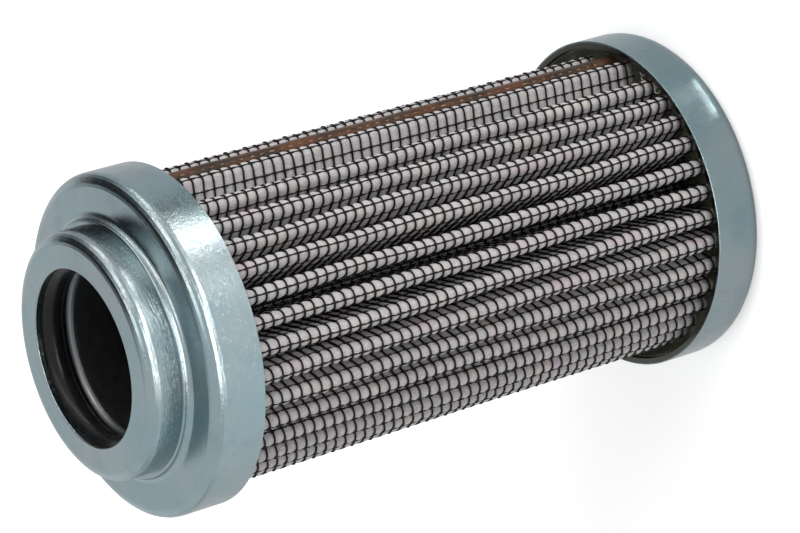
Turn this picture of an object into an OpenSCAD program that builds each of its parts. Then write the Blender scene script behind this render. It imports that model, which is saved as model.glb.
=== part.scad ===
// Pleated hydraulic filter element standing on its closed end, open end up.
// The origin is the centre of the closed end cap's outer face and Z is the element's axis.
// The side seam lies on +X. Pleats are counted clockwise from it, seen from the open end.

/* [Element] */
// Height from the closed end face to the lip of the open end
element_l = 96.4; // [70:0.1:250]
// Clearance where two flat faces seat on each other
seat_gap = 0.02; // [0.01:0.01:0.05]
// Radial clearance where one round piece slides into another
slide_gap = 0.05; // [0.03:0.01:0.1]

/* [End caps] */
// Thickness of the stamped sheet
sheet_t = 0.9; // [0.6:0.05:1]
// Outer diameter of the open end cap
open_cap_d = 47; // [46:0.1:52]
// Outer diameter of the closed end cap
closed_cap_d = 47.5; // [46:0.1:52]
// Height of the open end cap from its rim to its flat face
open_cap_h = 7.5; // [5:0.1:10]
// Height of the closed end cap
closed_cap_h = 8; // [5:0.1:10]
// Shoulder radius of the open end cap
open_shoulder_r = 1.7; // [1.2:0.1:2.5]
// Shoulder radius of the closed end cap
closed_shoulder_r = 2.5; // [1.2:0.1:3]
// Depth of the recess that centres the core tube
recess_h = 1.2; // [0.8:0.1:2]
// Wall angle of that recess, from upright
recess_draft = 20; // [10:1:35]

/* [Neck] */
// Outer diameter of the neck
neck_d = 33.8; // [33:0.1:36]
// Height of the neck above the cap's flat face
neck_h = 5.6; // [5.4:0.1:7]
// Radius of the neck's outer edge
neck_edge_r = 1.6; // [1.2:0.1:2]
// Bore of the lip
lip_bore_d = 24.5; // [24:0.1:26]
// Outer diameter of the step at the foot of the neck
step_d = 35.2; // [34.8:0.1:37]
// Height of that step
step_h = 1.1; // [0.6:0.1:1.6]
// Rounding of the step's edge
step_edge_r = 0.3; // [0.1:0.05:0.4]
// Fillet between the step and the flat face
step_fillet_r = 0.9; // [0.5:0.1:1.5]

/* [Seal] */
// Inner diameter of the O-ring
ring_bore_d = 22.1; // [21.8:0.1:22.2]
// Cord thickness of the O-ring
ring_cord_d = 3.5; // [3:0.1:3.6]
// Bore of the retainer sleeve, which guides the spigot
sleeve_bore_d = 22.5; // [22.4:0.1:22.8]
// Wall of the retainer
retainer_t = 0.9; // [0.6:0.1:1]
// Bend radius of the nose, on its outer side
nose_r = 1.2; // [1.1:0.1:1.4]
// Length of the sleeve below the retainer's flange
sleeve_l = 6.7; // [5:0.1:12]

/* [Core tube] */
// Wall of the perforated tube
core_t = 0.6; // [0.5:0.05:0.8]
// Diameter of the perforations
hole_d = 4.5; // [2:0.1:4.8]
// Perforations in one row
holes_per_row = 10; // [6:1:12]
// Distance between rows
row_pitch = 7; // [5.5:0.1:10]

/* [Pleats] */
// Number of full pleats beside the seam
pleat_count = 34; // [20:1:34]
// Space between the crests and the skirt of the narrower end cap
pack_gap = 1; // [0.8:0.05:1.5]
// Radius of a crest over the outer wire mesh
crest_r = 1.2; // [1.15:0.01:1.25]
// Radius of the fold between two pleats, over the mesh
fold_r = 0.05; // [0.03:0.01:0.06]
// Angle from the seam to the pleat that leans on it
lean_angle = 7.8; // [7.8:0.1:10]
// Straight pieces in each crest arc
crest_steps = 5; // [4:1:8]
// Straight pieces in each fold arc
fold_steps = 3; // [3:1:5]

/* [Layers] */
// Clearance between two layers
layer_gap = 0.01; // [0.005:0.005:0.02]
// Clearance on each side of a wire
wire_gap = 0.02; // [0.015:0.005:0.025]
// Wire of the outer mesh
outer_wire_d = 0.16; // [0.12:0.01:0.18]
// Outer fleece
outer_fleece_t = 0.12; // [0.08:0.01:0.14]
// Coarse medium
coarse_medium_t = 0.1; // [0.06:0.01:0.12]
// Fine glass-fibre medium
fine_medium_t = 0.14; // [0.08:0.01:0.16]
// Inner fleece
inner_fleece_t = 0.08; // [0.05:0.01:0.1]
// Wire of the inner mesh
inner_wire_d = 0.1; // [0.08:0.01:0.12]
// Pitch of the lengthwise wires along the pleats
long_wire_pitch = 2.1; // [1.8:0.05:4]
// Pitch of the cross wires along the element
cross_wire_pitch = 1.57; // [1.2:0.01:3]
// Outer cross wires: one is modelled of so many
outer_wire_skip = 14; // [10:1:25]
// Inner cross wires: one is modelled of so many
inner_wire_skip = 20; // [15:1:30]

/* [Adhesive] */
// Depth of the adhesive that holds the pleat ends in each cap
potting_h = 2.5; // [2:0.1:3.5]
// Height to which it creeps up the inside of a skirt
creep_h = 2; // [1:0.1:2.5]
// Distance from that film to the pleats
creep_gap = 0.2; // [0.1:0.05:0.4]
// Width of the bead that caps the side seam
bead_w = 2.8; // [2.6:0.1:2.9]
// Height of that bead
bead_h = 0.95; // [0.6:0.05:1]
// Rounding of its upper edges
bead_edge_r = 0.5; // [0.2:0.1:0.5]

/* [Hidden] */
$fn = 96;
wire_fn = 16;
bend_steps = 6;
cut_margin = 1;

STEEL = [0.70, 0.76, 0.79];
DARK_STEEL = [0.35, 0.38, 0.40];
RUBBER = [0.07, 0.07, 0.08];
WIRE = [0.10, 0.10, 0.11];
FLEECE = [0.92, 0.91, 0.92];
MEDIUM = [0.97, 0.95, 0.88];
AMBER = [0.36, 0.20, 0.12];
GREY_GLUE = [0.33, 0.33, 0.28];

// Heights of the faces that the pieces seat on
face_z = element_l - neck_h;
open_rim_z = face_z - open_cap_h;
cap_under_z = face_z - sheet_t;
lip_under_z = element_l - sheet_t;
floor_z = sheet_t;

// The O-ring lies between the lip and the retainer's flange
ring_z = lip_under_z - seat_gap - ring_cord_d / 2;
flange_z = ring_z - ring_cord_d / 2 - seat_gap;
flange_under_z = flange_z - retainer_t;
sleeve_r = sleeve_bore_d / 2;
neck_bore_r = neck_d / 2 - sheet_t;
retainer_r = neck_bore_r - slide_gap;

// The core tube slides over the retainer's sleeve and the closed cap's recess
core_bore_r = sleeve_r + retainer_t + slide_gap;
core_r = core_bore_r + core_t;
core_bottom_z = floor_z + seat_gap;
core_top_z = flange_under_z - (nose_r - retainer_t) - seat_gap;
recess_r = core_bore_r - slide_gap;

// The pleats end on the adhesive in each cap
pack_bottom_z = floor_z + potting_h + 2 * seat_gap;
pack_top_z = cap_under_z - potting_h - 2 * seat_gap;
pack_l = pack_top_z - pack_bottom_z;

// Depth of each layer's outer face below the outer face of the mesh
long_wire_s = outer_wire_d + wire_gap;
fleece_s = long_wire_s + outer_wire_d + wire_gap;
coarse_s = fleece_s + outer_fleece_t + layer_gap;
fine_s = coarse_s + coarse_medium_t + layer_gap;
inner_fleece_s = fine_s + fine_medium_t + layer_gap;
inner_long_s = inner_fleece_s + inner_fleece_t + wire_gap;
inner_cross_s = inner_long_s + inner_wire_d + wire_gap;
stack_t = inner_cross_s + inner_wire_d;

// The pleats fill the narrower cap up to that space
pack_r = min(open_cap_d, closed_cap_d) / 2 - sheet_t - pack_gap;

// Circles that the crests and the folds turn about
crest_centre_r = pack_r - crest_r;
fold_centre_r = core_r + slide_gap + fold_r + stack_t;
pleat_pitch = 360 / (pleat_count + 2);
seam_pleat = -1;

// Points of an arc about [x, y] from angle a to angle b
function arc(x, y, r, a, b, steps) = [
    for (i = [0 : steps])
        let (t = a + (b - a) * i / steps)
        [x + r * cos(t), y + r * sin(t)]
];

function reversed(list) = [for (i = [len(list) - 1 : -1 : 0]) list[i]];

// A point at radius r and at an angle counted clockwise from the seam
function polar(r, angle) = [r * cos(angle), -r * sin(angle)];

// Where the foot of a pleat stands. The seam counts as the pleat before the first and after the last
function foot_angle(i) =
    i < 0 ? 0
    : i == 0 ? 1.25 * pleat_pitch
    : i == pleat_count ? 360
    : (i + 1.5) * pleat_pitch;

// The first pleat leans on the seam and the others stand upright on their feet
function crest_angle(i) = i == 0 ? lean_angle : foot_angle(i);

function fold_angle(k) = (foot_angle(k - 1) + foot_angle(k)) / 2;

function crest_centre(i) = polar(crest_centre_r, crest_angle(i));

function fold_centre(k) = polar(fold_centre_r, fold_angle(k));

// Direction that the flank between crest i and fold k faces. It touches both circles
function flank_angle(i, k) =
    let (v = fold_centre(k) - crest_centre(i))
    let (side = k > i ? 1 : -1)
    atan2(v[1], v[0]) + side * acos((crest_r + fold_r) / norm(v));

// An angle brought between -180 and 180 degrees
function wrapped(a) = a - 360 * floor((a + 180) / 360);

// Crest and fold arcs at depth s below the outer face, both from the seam onwards
function crest_arc(i, s) =
    let (up = -crest_angle(i), c = crest_centre(i))
    let (a = wrapped(flank_angle(i, i) - up), b = wrapped(flank_angle(i, i + 1) - up))
    arc(c[0], c[1], crest_r - s, up + a, up + b, crest_steps);

function fold_arc(k, s) =
    let (down = 180 - fold_angle(k), c = fold_centre(k))
    let (a = wrapped(flank_angle(k - 1, k) + 180 - down))
    let (b = wrapped(flank_angle(k, k) + 180 - down))
    arc(c[0], c[1], fold_r + s, down + a, down + b, fold_steps);

// The flanks at the seam stop where a crest would begin
function leg_end(i, k, s) =
    let (c = crest_centre(i), a = flank_angle(i, k))
    [c[0] + (crest_r - s) * cos(a), c[1] + (crest_r - s) * sin(a)];

// The folded sheet's outline at depth s, from one leg of the seam round to the other
function sheet_line(s) = [
    leg_end(seam_pleat, 0, s),
    for (k = [0 : pleat_count])
        each concat(fold_arc(k, s), k < pleat_count ? crest_arc(k, s) : []),
    leg_end(pleat_count, pleat_count, s)
];

// Length along a line of points, at each of them
function run_lengths(line) = [
    for (
        i = 0, run = 0;
        i < len(line);
        run = run + (i + 1 < len(line) ? norm(line[i + 1] - line[i]) : 0), i = i + 1
    ) run
];

// One folded layer between two depths, h high
module folded_layer(s, thickness, h) {
    linear_extrude(height = h)
        polygon(concat(sheet_line(s), reversed(sheet_line(s + thickness))));
}

module full_layer(s, thickness) {
    translate([0, 0, pack_bottom_z])
        folded_layer(s, thickness, pack_l);
}

// Cross wires follow every fold and are shown at some of their places
module cross_wires(s, wire_d, skip) {
    step = skip * cross_wire_pitch;
    count = floor((pack_l - wire_d) / step) + 1;
    first_z = (pack_l - (count - 1) * step - wire_d) / 2;
    for (i = [0 : count - 1])
        translate([0, 0, pack_bottom_z + first_z + i * step])
            folded_layer(s, wire_d, wire_d);
}

// Lengthwise wires lie at an even pitch along the folded sheet
module long_wires(s, wire_d) {
    line = sheet_line(s + wire_d / 2);
    runs = run_lengths(line);
    x_at = [for (i = [0 : len(line) - 1]) [runs[i], line[i][0]]];
    y_at = [for (i = [0 : len(line) - 1]) [runs[i], line[i][1]]];
    for (run = [long_wire_pitch / 2 : long_wire_pitch : runs[len(runs) - 1]])
        translate([lookup(run, x_at), lookup(run, y_at), pack_bottom_z])
            cylinder(h = pack_l, d = wire_d, $fn = wire_fn);
}

module outer_mesh_cross_wires() {
    color(WIRE)
        cross_wires(0, outer_wire_d, outer_wire_skip);
}

module outer_mesh_long_wires() {
    color(WIRE)
        long_wires(long_wire_s, outer_wire_d);
}

module outer_fleece() {
    color(FLEECE)
        full_layer(fleece_s, outer_fleece_t);
}

module coarse_medium() {
    color(MEDIUM)
        full_layer(coarse_s, coarse_medium_t);
}

module fine_medium() {
    color(MEDIUM)
        full_layer(fine_s, fine_medium_t);
}

module inner_fleece() {
    color(FLEECE)
        full_layer(inner_fleece_s, inner_fleece_t);
}

module inner_mesh_long_wires() {
    color(WIRE)
        long_wires(inner_long_s, inner_wire_d);
}

module inner_mesh_cross_wires() {
    color(WIRE)
        cross_wires(inner_cross_s, inner_wire_d, inner_wire_skip);
}

// Stamped cup with a hollow neck whose lip holds the O-ring in
module open_end_cap() {
    r = open_cap_d / 2;
    shoulder_x = r - open_shoulder_r;
    shoulder_z = face_z - open_shoulder_r;
    step_r = step_d / 2;
    neck_r = neck_d / 2;
    edge_x = neck_r - neck_edge_r;
    edge_z = element_l - neck_edge_r;
    foot_r = step_fillet_r;
    outside = concat(
        [[r, open_rim_z]],
        arc(shoulder_x, shoulder_z, open_shoulder_r, 0, 90, bend_steps),
        arc(step_r + foot_r, face_z + foot_r, foot_r, 270, 180, bend_steps),
        arc(step_r - step_edge_r, face_z + step_h - step_edge_r, step_edge_r, 0, 90, bend_steps),
        [[neck_r, face_z + step_h]],
        arc(edge_x, edge_z, neck_edge_r, 0, 90, bend_steps),
        [[lip_bore_d / 2, element_l]]
    );
    inside = concat(
        [[lip_bore_d / 2, lip_under_z]],
        arc(edge_x, edge_z, neck_edge_r - sheet_t, 90, 0, bend_steps),
        arc(neck_bore_r + foot_r, cap_under_z + foot_r, foot_r, 180, 270, bend_steps),
        arc(shoulder_x, shoulder_z, open_shoulder_r - sheet_t, 90, 0, bend_steps),
        [[r - sheet_t, open_rim_z]]
    );
    color(STEEL)
        rotate_extrude()
            polygon(concat(outside, inside));
}

// Stamped cup with a shallow recess that centres the core tube
module closed_end_cap() {
    r = closed_cap_d / 2;
    shoulder_x = r - closed_shoulder_r;
    slope = recess_h * tan(recess_draft);
    under_r = recess_r - sheet_t;
    outside = concat(
        [[0, recess_h], [under_r - slope, recess_h], [under_r, 0]],
        arc(shoulder_x, closed_shoulder_r, closed_shoulder_r, 270, 360, bend_steps),
        [[r, closed_cap_h]]
    );
    inside = concat(
        [[r - sheet_t, closed_cap_h]],
        arc(shoulder_x, closed_shoulder_r, closed_shoulder_r - sheet_t, 360, 270, bend_steps),
        [[recess_r, floor_z], [recess_r - slope, floor_z + recess_h], [0, floor_z + recess_h]]
    );
    color(STEEL)
        rotate_extrude()
            polygon(concat(outside, inside));
}

// Pressed ring: a sleeve for the spigot, a flange under the O-ring and a wall round it
module seal_retainer() {
    bend_r = nose_r - retainer_t;
    nose_x = sleeve_r + nose_r;
    nose_z = flange_z - nose_r;
    sleeve_z = flange_under_z - sleeve_l;
    wall_x = retainer_r - nose_r;
    wall_z = flange_under_z + nose_r;
    wall_top_z = lip_under_z - neck_edge_r;
    top = concat(
        [[sleeve_r, sleeve_z]],
        arc(nose_x, nose_z, nose_r, 180, 90, bend_steps),
        arc(wall_x, wall_z, bend_r, 270, 360, bend_steps),
        [[retainer_r - retainer_t, wall_top_z]]
    );
    bottom = concat(
        [[retainer_r, wall_top_z]],
        arc(wall_x, wall_z, nose_r, 360, 270, bend_steps),
        arc(nose_x, nose_z, bend_r, 90, 180, bend_steps),
        [[sleeve_r + retainer_t, sleeve_z]]
    );
    color(DARK_STEEL)
        rotate_extrude()
            polygon(concat(top, bottom));
}

module o_ring() {
    color(RUBBER)
        translate([0, 0, ring_z])
            rotate_extrude()
                translate([(ring_bore_d + ring_cord_d) / 2, 0])
                    circle(d = ring_cord_d, $fn = 48);
}

// Tube with rows of holes, each row turned by half a hole from the one below
module core_tube() {
    core_l = core_top_z - core_bottom_z;
    rows = floor((pack_l - hole_d) / row_pitch) + 1;
    first_z = pack_bottom_z + (pack_l - (rows - 1) * row_pitch) / 2;
    hole_pitch = 360 / holes_per_row;
    color(DARK_STEEL)
        difference() {
            translate([0, 0, core_bottom_z])
                cylinder(h = core_l, r = core_r);
            translate([0, 0, core_bottom_z - cut_margin])
                cylinder(h = core_l + 2 * cut_margin, r = core_bore_r);
            for (row = [0 : rows - 1], i = [0 : holes_per_row - 1])
                translate([0, 0, first_z + row * row_pitch])
                    rotate([0, 90, (i + (row % 2) / 2) * hole_pitch])
                        translate([0, 0, core_bore_r - hole_d / 2])
                            cylinder(h = hole_d / 2 + core_t + cut_margin, d = hole_d, $fn = 32);
        }
}

// Glue between the seam's two legs, with a bead over their cut edges
module side_seam_adhesive() {
    web_s = stack_t + layer_gap;
    last = pleat_count;
    bead_low_r = max(leg_end(seam_pleat, 0, 0)[0], leg_end(last, last, 0)[0]) + layer_gap;
    edge_x = bead_low_r + bead_h - bead_edge_r;
    edge_y = bead_w / 2 - bead_edge_r;
    first_leg = [fold_arc(0, web_s)[0], leg_end(seam_pleat, 0, web_s)];
    last_leg = [leg_end(last, last, web_s), fold_arc(last, web_s)[fold_steps]];
    bead = concat(
        [[bead_low_r, first_leg[1][1]], [bead_low_r, -bead_w / 2]],
        arc(edge_x, -edge_y, bead_edge_r, -90, 0, bend_steps),
        arc(edge_x, edge_y, bead_edge_r, 0, 90, bend_steps),
        [[bead_low_r, bead_w / 2], [bead_low_r, last_leg[0][1]]]
    );
    color(AMBER)
        translate([0, 0, pack_bottom_z])
            linear_extrude(height = pack_l)
                polygon(concat(first_leg, bead, last_leg));
}

// Adhesive that fills the open end cap and the space round the core tube in its neck
module open_end_adhesive() {
    r = open_cap_d / 2 - sheet_t - slide_gap;
    bore_r = core_r + slide_gap;
    plug_r = neck_bore_r - slide_gap;
    plug_z = flange_under_z - seat_gap;
    top_z = cap_under_z - seat_gap;
    low_z = top_z - potting_h;
    round_r = open_shoulder_r - sheet_t;
    color(GREY_GLUE)
        rotate_extrude()
            polygon(concat(
                [[bore_r, low_z], [pack_r + creep_gap, low_z], [r, low_z - creep_h]],
                arc(r - round_r, top_z - round_r, round_r, 0, 90, bend_steps),
                [[plug_r, top_z], [plug_r, plug_z - nose_r], [plug_r - nose_r, plug_z]],
                [[bore_r, plug_z]]
            ));
}

// Adhesive on the floor of the closed end cap
module closed_end_adhesive() {
    r = closed_cap_d / 2 - sheet_t - slide_gap;
    bore_r = core_r + slide_gap;
    low_z = floor_z + seat_gap;
    top_z = low_z + potting_h;
    round_r = closed_shoulder_r - sheet_t;
    color(GREY_GLUE)
        rotate_extrude()
            polygon(concat(
                [[bore_r, low_z]],
                arc(r - round_r, low_z + round_r, round_r, 270, 360, bend_steps),
                [[r, top_z + creep_h], [pack_r + creep_gap, top_z], [bore_r, top_z]]
            ));
}

open_end_cap();
closed_end_cap();
seal_retainer();
o_ring();
core_tube();
outer_mesh_cross_wires();
outer_mesh_long_wires();
outer_fleece();
coarse_medium();
fine_medium();
inner_fleece();
inner_mesh_long_wires();
inner_mesh_cross_wires();
side_seam_adhesive();
open_end_adhesive();
closed_end_adhesive();
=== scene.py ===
"""Looks of a pleated hydraulic filter element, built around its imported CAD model.

The element stands on its closed end, with Z as its axis. The side seam lies on +X and the pleats
are counted clockwise from it, seen from the open end. The element and its view are given in
millimetres up to the point where a mesh is made, the studio in metres and angles in degrees.
"""
import math

import bmesh
import bpy
import numpy as np
from mathutils import Matrix, Quaternion, Vector


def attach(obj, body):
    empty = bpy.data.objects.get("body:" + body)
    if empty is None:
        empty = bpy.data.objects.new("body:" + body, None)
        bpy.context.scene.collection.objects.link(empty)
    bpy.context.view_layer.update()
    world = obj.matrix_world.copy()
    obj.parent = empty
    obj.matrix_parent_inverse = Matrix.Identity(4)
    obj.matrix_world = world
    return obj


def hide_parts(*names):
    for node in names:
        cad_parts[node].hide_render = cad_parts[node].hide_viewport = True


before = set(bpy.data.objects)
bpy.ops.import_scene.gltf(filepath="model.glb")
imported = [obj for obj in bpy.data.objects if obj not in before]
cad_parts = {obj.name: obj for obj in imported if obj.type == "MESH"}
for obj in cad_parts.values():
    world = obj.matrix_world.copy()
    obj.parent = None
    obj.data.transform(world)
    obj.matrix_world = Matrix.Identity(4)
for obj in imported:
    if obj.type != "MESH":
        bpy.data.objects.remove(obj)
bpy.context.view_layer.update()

MM = 0.001

# Photograph's view
VIEW_TARGET = (0.397, -1.153, 46.245)
VIEW_DISTANCE = 513.5
VIEW_AZIMUTH = 20.49
VIEW_ELEVATION = 31.956
VIEW_ROLL = 106.286
LENS = 168.14
SENSOR_WIDTH = 36.0
CLIP_DISTANCES = (0.01, 20)

# Pale room: its level, the share of it that lights cloth, and the least that its screens leave
ROOM_LEVEL = 0.93
CLOTH_SHARE = 0.7
SCREEN_SHADE = 0.04

# Dark screens in the room: azimuth, elevation, inner and outer half angle, and strength
SCREENS = (
    (160, 46, 21, 34, -0.88),
    (152, 14, 10, 24, -0.75),
    (200, 32, 8, 24, -0.06),
)

# Table: half its side, its colour, the white that the camera sees, and the shine that metal
# shows, which fades out between two places along Y
TABLE_HALF = 3.0
TABLE_COLOUR = (0.85, 0.85, 0.85)
TABLE_WHITE = 0.48
TABLE_SHINE = 0.46
TABLE_DEPTH = (-0.1, 0.1)

# Black card on the table, which only metal shows: the way its long side faces, its distance from
# the axis, its half width and the share of that within its soft edges, where it begins and ends
# along X, and its colour
CARD_FACING = (0.477, 0.88, 0)
CARD_DISTANCE = 0.098
CARD_HALF = 0.02
CARD_CORE = 0.7
CARD_ENDS = (0.11, 0.32)
CARD_COLOUR = (0.02, 0.02, 0.03)

# Softboxes, which metal doesn't show: azimuth, elevation, distance, width, height and power
SOFTBOXES = {
    "key": (70, 30, 0.95, 0.7, 0.8, 4.6),
    "back_fill": (215, 15, 0.95, 0.8, 0.8, 2.4),
}

# Strip lights, which only metal shows: both ends, width and brightness
STRIP_COLOUR = (1.0, 0.87, 0.80)
STRIPS = {
    "skirt_strip": ((0.144, -0.062, 0.018), (0.147, -0.018, 0.007), 0.018, 12.5),
    "rising_strip": ((0.160, -0.150, 0.030), (0.110, -0.303, 0.090), 0.030, 13.0),
    "level_strip": ((0.165, -0.285, 0.140), (-0.110, -0.300, 0.092), 0.062, 13.5),
    "far_strip": ((0.417, 0.168, 0.116), (0.388, -0.041, 0.317), 0.040, 8.0),
    "top_strip": ((0.388, -0.041, 0.317), (0.050, -0.112, 0.600), 0.036, 8.5),
    "foot_strip": ((0.0180, -0.0198, 0.0003), (0.0225, -0.0136, 0.0003), 0.0006, 7.0),
    "foot_patch": ((0.0245, -0.0185, 0.0003), (0.0270, -0.0150, 0.0003), 0.0015, 1.0),
}

# Folded sheets. The first pleat stands nearer to the seam than the even pitch would put it and
# leans on it
PLEATS = 34
PLEAT_PITCH = 360 / (PLEATS + 2)
SEAM_PLEAT = -1
FIRST_FOOT = 1.25
FOOT_SHIFT = 1.5
LEAN_ANGLE = 7.8
CREST_RADIUS = 1.2
CREST_CENTRE = 20.4
FOLD_RADIUS = 0.05
FOLD_CENTRE = 13.97
PACK_BOTTOM = 3.44
PACK_TOP = 87.36
PACK_LENGTH = PACK_TOP - PACK_BOTTOM

# Outer wire cloth, measured inwards from the crests' outer face, and the room along a cross wire
# that its bends leave round a crossing
WIRE_DIAMETER = 0.27
WEAVE_HEIGHT = 0.07
WEAVE_DEPTH = 0.205
CROSS_PITCH = 1.57
LONG_PITCH = 2.1
WIRE_SIDES = 5
WIRE_FOLD_STEPS = 3
CROSSING_ROOM = 0.12
CROSS_COUNT = int((PACK_LENGTH - WIRE_DIAMETER) // CROSS_PITCH) + 1
FIRST_CROSS = PACK_BOTTOM + (PACK_LENGTH - (CROSS_COUNT - 1) * CROSS_PITCH) / 2

# Faces of the sheets under it, at the same kind of depth. The fleece puffs out between the wires:
# share of the way to the next wire, and depth
FLEECE_PRESSED = 0.41
COARSE_FACE = 0.485
FINE_FACE = 0.595
INNER_FLEECE_FACE = 0.745
INNER_FLEECE_BACK = 0.825
SHEET_GAP = 0.005
CREST_STEPS = 6
FOLD_STEPS = 2
BACK_ROWS = 25
PUFFS = ((0.2, 0.24), (0.5, 0.13), (0.8, 0.24))

# How far handling has pushed the crests sideways and outwards, and the waves that they follow:
# length up the element for each radian, waves round it, start and share
SWAY = 0.16
SWAY_WAVES = ((9.1, 5.0, 0, 1), (5.3, -11.0, 1.7, 1), (3.1, 17.0, 0.4, 0.6))
LIFT_SHARE = 0.35
LIFT_WAVES = ((13.0, 7.0, 2.0, 1),)

# How far the wires have drifted along the element, and the waves of that: shares of X and Y,
# lengths across and up for each radian, and start
WIRE_DRIFT = 0.13
DRIFT_WAVES = ((1, 0, 1.9, 7.0, 0), (0, 1, 2.3, -5.1, 0.8), (1, 1, 5.7, 2.9, 0))

# Where the cloth is held still: by angle from the seam, height, and distance below the pack's top
SEAM_HOLD = (3, 16)
CLOSED_HOLD = (4, 14)
OPEN_HOLD = (-2, 8)

# Sag of the pleats beside the seam: its depth, where it starts and ends by angle, and its rise
SAG = 0.15
SAG_START = (1.5, 4)
SAG_END, SAG_FADE = 20, 6
SAG_RISE = (14, 40)
SAG_TOP = (0, 16)

# Closed cap: its rim's height, the line inside which glue smears the rim, and the heights of the
# painted shade at its foot
CLOSED_RIM = 8.0
RIM_BAND = (-0.12, -0.04)
RIM_LINE = 23.45
RIM_LINE_WIDTH = 0.08
FOOT_SHADE = (1.2, 2.1)

# Glue in the closed end: its level between the pleats and on the skirt, and its ripples
GLUE_LEVEL = 5.9
GLUE_CREEP = 7.5
GLUE_RIPPLE = 0.35
GLUE_STEP = 1.5
BED_WAVES = ((math.inf, 5, 0, 0.5), (math.inf, 13, 1, 0.4), (math.inf, 29, 2, 0.3))
FILM_WAVES = ((math.inf, 4, 2, 0.6), (math.inf, 11, 0, 0.5), (math.inf, 23, 1, 0.3))

# Its section: bore, outside, floor and rounded corner, the film's edge as distances in from the
# skirt and down, and the bed's edge as distances in from the film and up
GLUE_BORE = 12.85
GLUE_RADIUS = 22.8
GLUE_FLOOR = 0.92
GLUE_CORNER = 1.6
CORNER_ANGLES = (0, 30, 60, 90)
FILM_EDGE = ((0, 0), (0.18, 0), (0.4, 0.35))
SKIRT_FILM = 21.9
BED_EDGE = ((0, 0.45), (0.8, 0.1), (2.5, 0))
BED_MIDDLE = 17.0

# Bead of glue over the side seam, with the web under it
BEAD_FOOT = 20.6
BEAD_TOP = 21.5
BEAD_NEAR = 1.2
BEAD_FAR = 1.45
BEAD_FULLNESS = 2.6
BEAD_LIP = 0.3
BEAD_GROOVE = 0.18
GROOVE_PLACE = -0.62
GROOVE_WIDTH = 0.14
WEB_FOOT = 15.5
WEB_HALF = 0.3
BEAD_STEP = 0.5
BEAD_POINTS = 17

# Its unevenness: how it wanders and swells, and the lump that it ends in at the closed end
BEAD_WANDER = 0.07
WANDER_WAVES = ((4.7, 0, 0, 1), (1.9, 0, 1, 0.5))
BEAD_SWELL = 0.05
SWELL_WAVE = (3.1, 0, 2, 1)
RIPPLE_LENGTH = 1.3
RIPPLE_SHARE = 0.4
BEAD_SINK = 0.03
LUMP_TOP = 12
LUMP_FADE = 6
LUMP_HEIGHT = 0.25
LUMP_SPREAD = 0.35
LUMP_TURN = 1.7

# Cut ends of the cloth in the bead's groove, as pale chips whose colour is a painted glint of the
# glue round
# each end: size, how far they stand out and stray, turn in radians, unevenness, and distances from
# the first cross wire and the pack's top
CUT_END_LENGTH = 0.95
CUT_END_WIDTH = 0.17
CUT_END_PROUD = 0.02
CUT_END_STRAY = 0.04
STRAY_LENGTH = 2.3
CUT_END_TURN = (0.12, 0.04, 0)
CUT_END_UNEVENNESS = 0.6
CUT_END_SEED = 4
CUT_END_MARGINS = (6, 3)

# Rounded cut edges of the caps' sheet: radius, height and half thickness
EDGE_RINGS = {"lip_edge": (12.3, 96.22, 0.18), "rim_edge": (23.62, 7.95, 0.13)}
RING_STEP = 3
EDGE_STEP = 30

# Glue strands: angle from the seam and number of curls
STRANDS = ((20.0, 2.6), (28.5, 3.4))
STRAND_STEPS = 26
STRAND_RADIUS = 0.08
STRAND_REACH = 4.2
STRAND_CURL = 1.0
STRAND_DEPTH = (0.05, 0.15)
STRAND_START = -0.6
STRAND_RISE = 0.9
STRAND_WAVE = 0.5

# Colours of the finishes
ZINC_GREY = (0.305, 0.362, 0.38)
ZINC_TEAL = (0.225, 0.33, 0.362)
ZINC_BLUE = (0.20, 0.25, 0.30)
# Painted shade: the closed cap's zinc is a darker copy, standing in for the darker reflections
# round it
CLOSED_CAP_PAINTED_SHADE = 0.8
RIM_GLUE = (0.075, 0.078, 0.068)
# Painted shade at the closed cap's foot, standing in for a darker reflection there
FOOT_PAINTED_SHADE = (0.07, 0.085, 0.095)
# Bore steel, darkened as painted shade for the dim inside of the bore
BORE_STEEL_SHADE_COLOURS = (0.15, 0.16, 0.17), (0.21, 0.22, 0.23)
RUBBER_COLOURS = (0.006, 0.006, 0.007), (0.014, 0.014, 0.015)
WIRE_COLOURS = (0.009, 0.007, 0.008), (0.028, 0.022, 0.022)
FLEECE_COLOURS = (0.37, 0.355, 0.36), (0.65, 0.635, 0.64)
FLEECE_BLOTCH = (0.58, 0.57, 0.58)
FLEECE_PINK = (0.56, 0.46, 0.52)
FLEECE_CREAM = (0.64, 0.615, 0.54)
FLEECE_SOAKED = (0.10, 0.10, 0.075)
MEDIUM_COLOURS = (0.70, 0.67, 0.58), (0.84, 0.82, 0.74)
AMBER_COLOURS = (0.016, 0.010, 0.006), (0.115, 0.050, 0.024)
AMBER_CLOUD = (0.026, 0.016, 0.008)
AMBER_RUST = (0.11, 0.038, 0.015)
AMBER_GREEN = (0.030, 0.026, 0.015)
# Painted glint: the light colour of the chips at the cloth's cut ends
CUT_END_GLINT_COLOURS = (0.16, 0.08, 0.04), (0.42, 0.30, 0.20)
GREY_GLUE_COLOURS = (0.045, 0.046, 0.034), (0.13, 0.13, 0.095)
STRAND_COLOURS = (0.22, 0.22, 0.17), (0.42, 0.42, 0.36)

# Glue soaked into the fleece: how far its edge wanders, and where it fades above the glue's
# level. The bead's green fades between two heights
SOAK_WANDER = 1.6
SOAK_FADE = (0.2, 1.8)
GREEN_FADE = (6, 14)


# Nodes and pieces

def plug(tree, socket, value):
    """Links a socket to another one, or gives it a plain value."""
    if isinstance(value, bpy.types.NodeSocket):
        tree.links.new(value, socket)
    else:
        socket.default_value = value


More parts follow.
